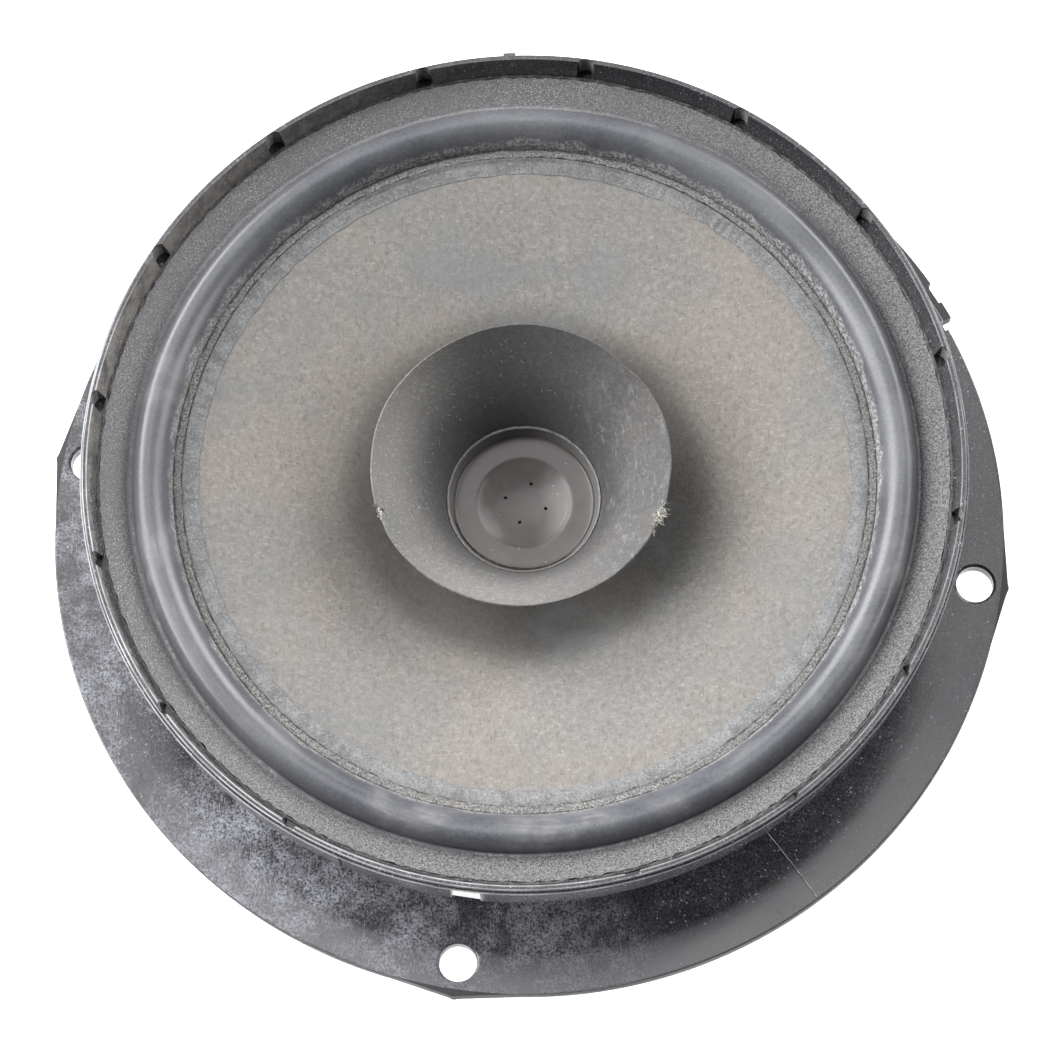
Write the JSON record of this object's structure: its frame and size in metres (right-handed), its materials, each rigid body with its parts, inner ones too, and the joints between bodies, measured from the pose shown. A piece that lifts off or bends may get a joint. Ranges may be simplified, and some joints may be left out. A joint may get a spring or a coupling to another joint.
{
  "type": "car door speaker",
  "caption": "Round full-range car door speaker: moulded basket with a set-back bolt-down flange, sprung paper cone with a whizzer, magnet motor and rear connector.",
  "frame": {"origin": "centre of the mounting flange's rear face, on the speaker's axis", "axes": "+Z along the axis out of the cone towards the listener; +Y towards the side the rear connector's socket opens to"},
  "size_m": [0.1914, 0.1914, 0.069],
  "materials": {
    "basket_plastic": "semi-gloss moulded, dusty",
    "gasket_foam": "matt closed-cell foam",
    "rim_glue": "dull dried glue",
    "surround_rubber": "satin, dusty",
    "edge_glue": "dull dried glue",
    "cone_paper": "bare fibrous pulp",
    "neck_glue": "dull dried glue",
    "whizzer_paper": "fibrous pulp, frayed edge",
    "bead_glue": "thin dried bead",
    "cap_plastic": "satin",
    "former_film": "amber film",
    "collar_paper": "wound kraft",
    "copper_winding": "enamelled copper wire",
    "copper_wire": "enamelled copper wire",
    "spider_cloth": "resin-stiffened woven cloth",
    "seat_glue": "dull dried glue",
    "plate_steel": "zinc plated",
    "ferrite": "ground ferrite",
    "back_steel": "zinc plated",
    "pole_steel": "turned and plated",
    "screw_steel": "zinc plated",
    "connector_plastic": "fine matt moulding",
    "terminal_brass": "tinned brass strip",
    "tinsel_braid": "braided tinsel cord",
    "solder": "satin solder",
    "anchor_glue": "dull dried glue"
  },
  "bodies": {
    "frame": {"basket": "basket_plastic", "flange_gasket": "gasket_foam", "surround_adhesive": "rim_glue", "surround": "surround_rubber", "spider": "spider_cloth", "spider_adhesive": "seat_glue", "top_plate": "plate_steel", "magnet": "ferrite", "back_plate": "back_steel", "pole_piece": "pole_steel", "motor_screws": "screw_steel", "connector_housing": "connector_plastic", "terminal_positive": "terminal_brass", "terminal_negative": "terminal_brass", "tinsel_lead_positive": "tinsel_braid", "tinsel_lead_negative": "tinsel_braid", "lead_solder_joints": "solder"},
    "cone_assembly": {"cone": "cone_paper", "cone_edge_adhesive": "edge_glue", "cone_neck_adhesive": "neck_glue", "whizzer_cone": "whizzer_paper", "neck_adhesive": "bead_glue", "dust_cap": "cap_plastic", "voice_coil_former": "former_film", "former_collar": "collar_paper", "voice_coil": "copper_winding", "coil_tails": "copper_wire", "lead_anchor_beads": "anchor_glue"}
  },
  "joints": [
    {"name": "cone_travel", "type": "slide", "parent": "frame", "child": "cone_assembly", "axis": [0, 0, 1], "range_m": [-0.004, 0.004], "stiffness_N_per_m": 2000, "deforming": ["surround", "spider", "tinsel_lead_positive", "tinsel_lead_negative"]}
  ]
}
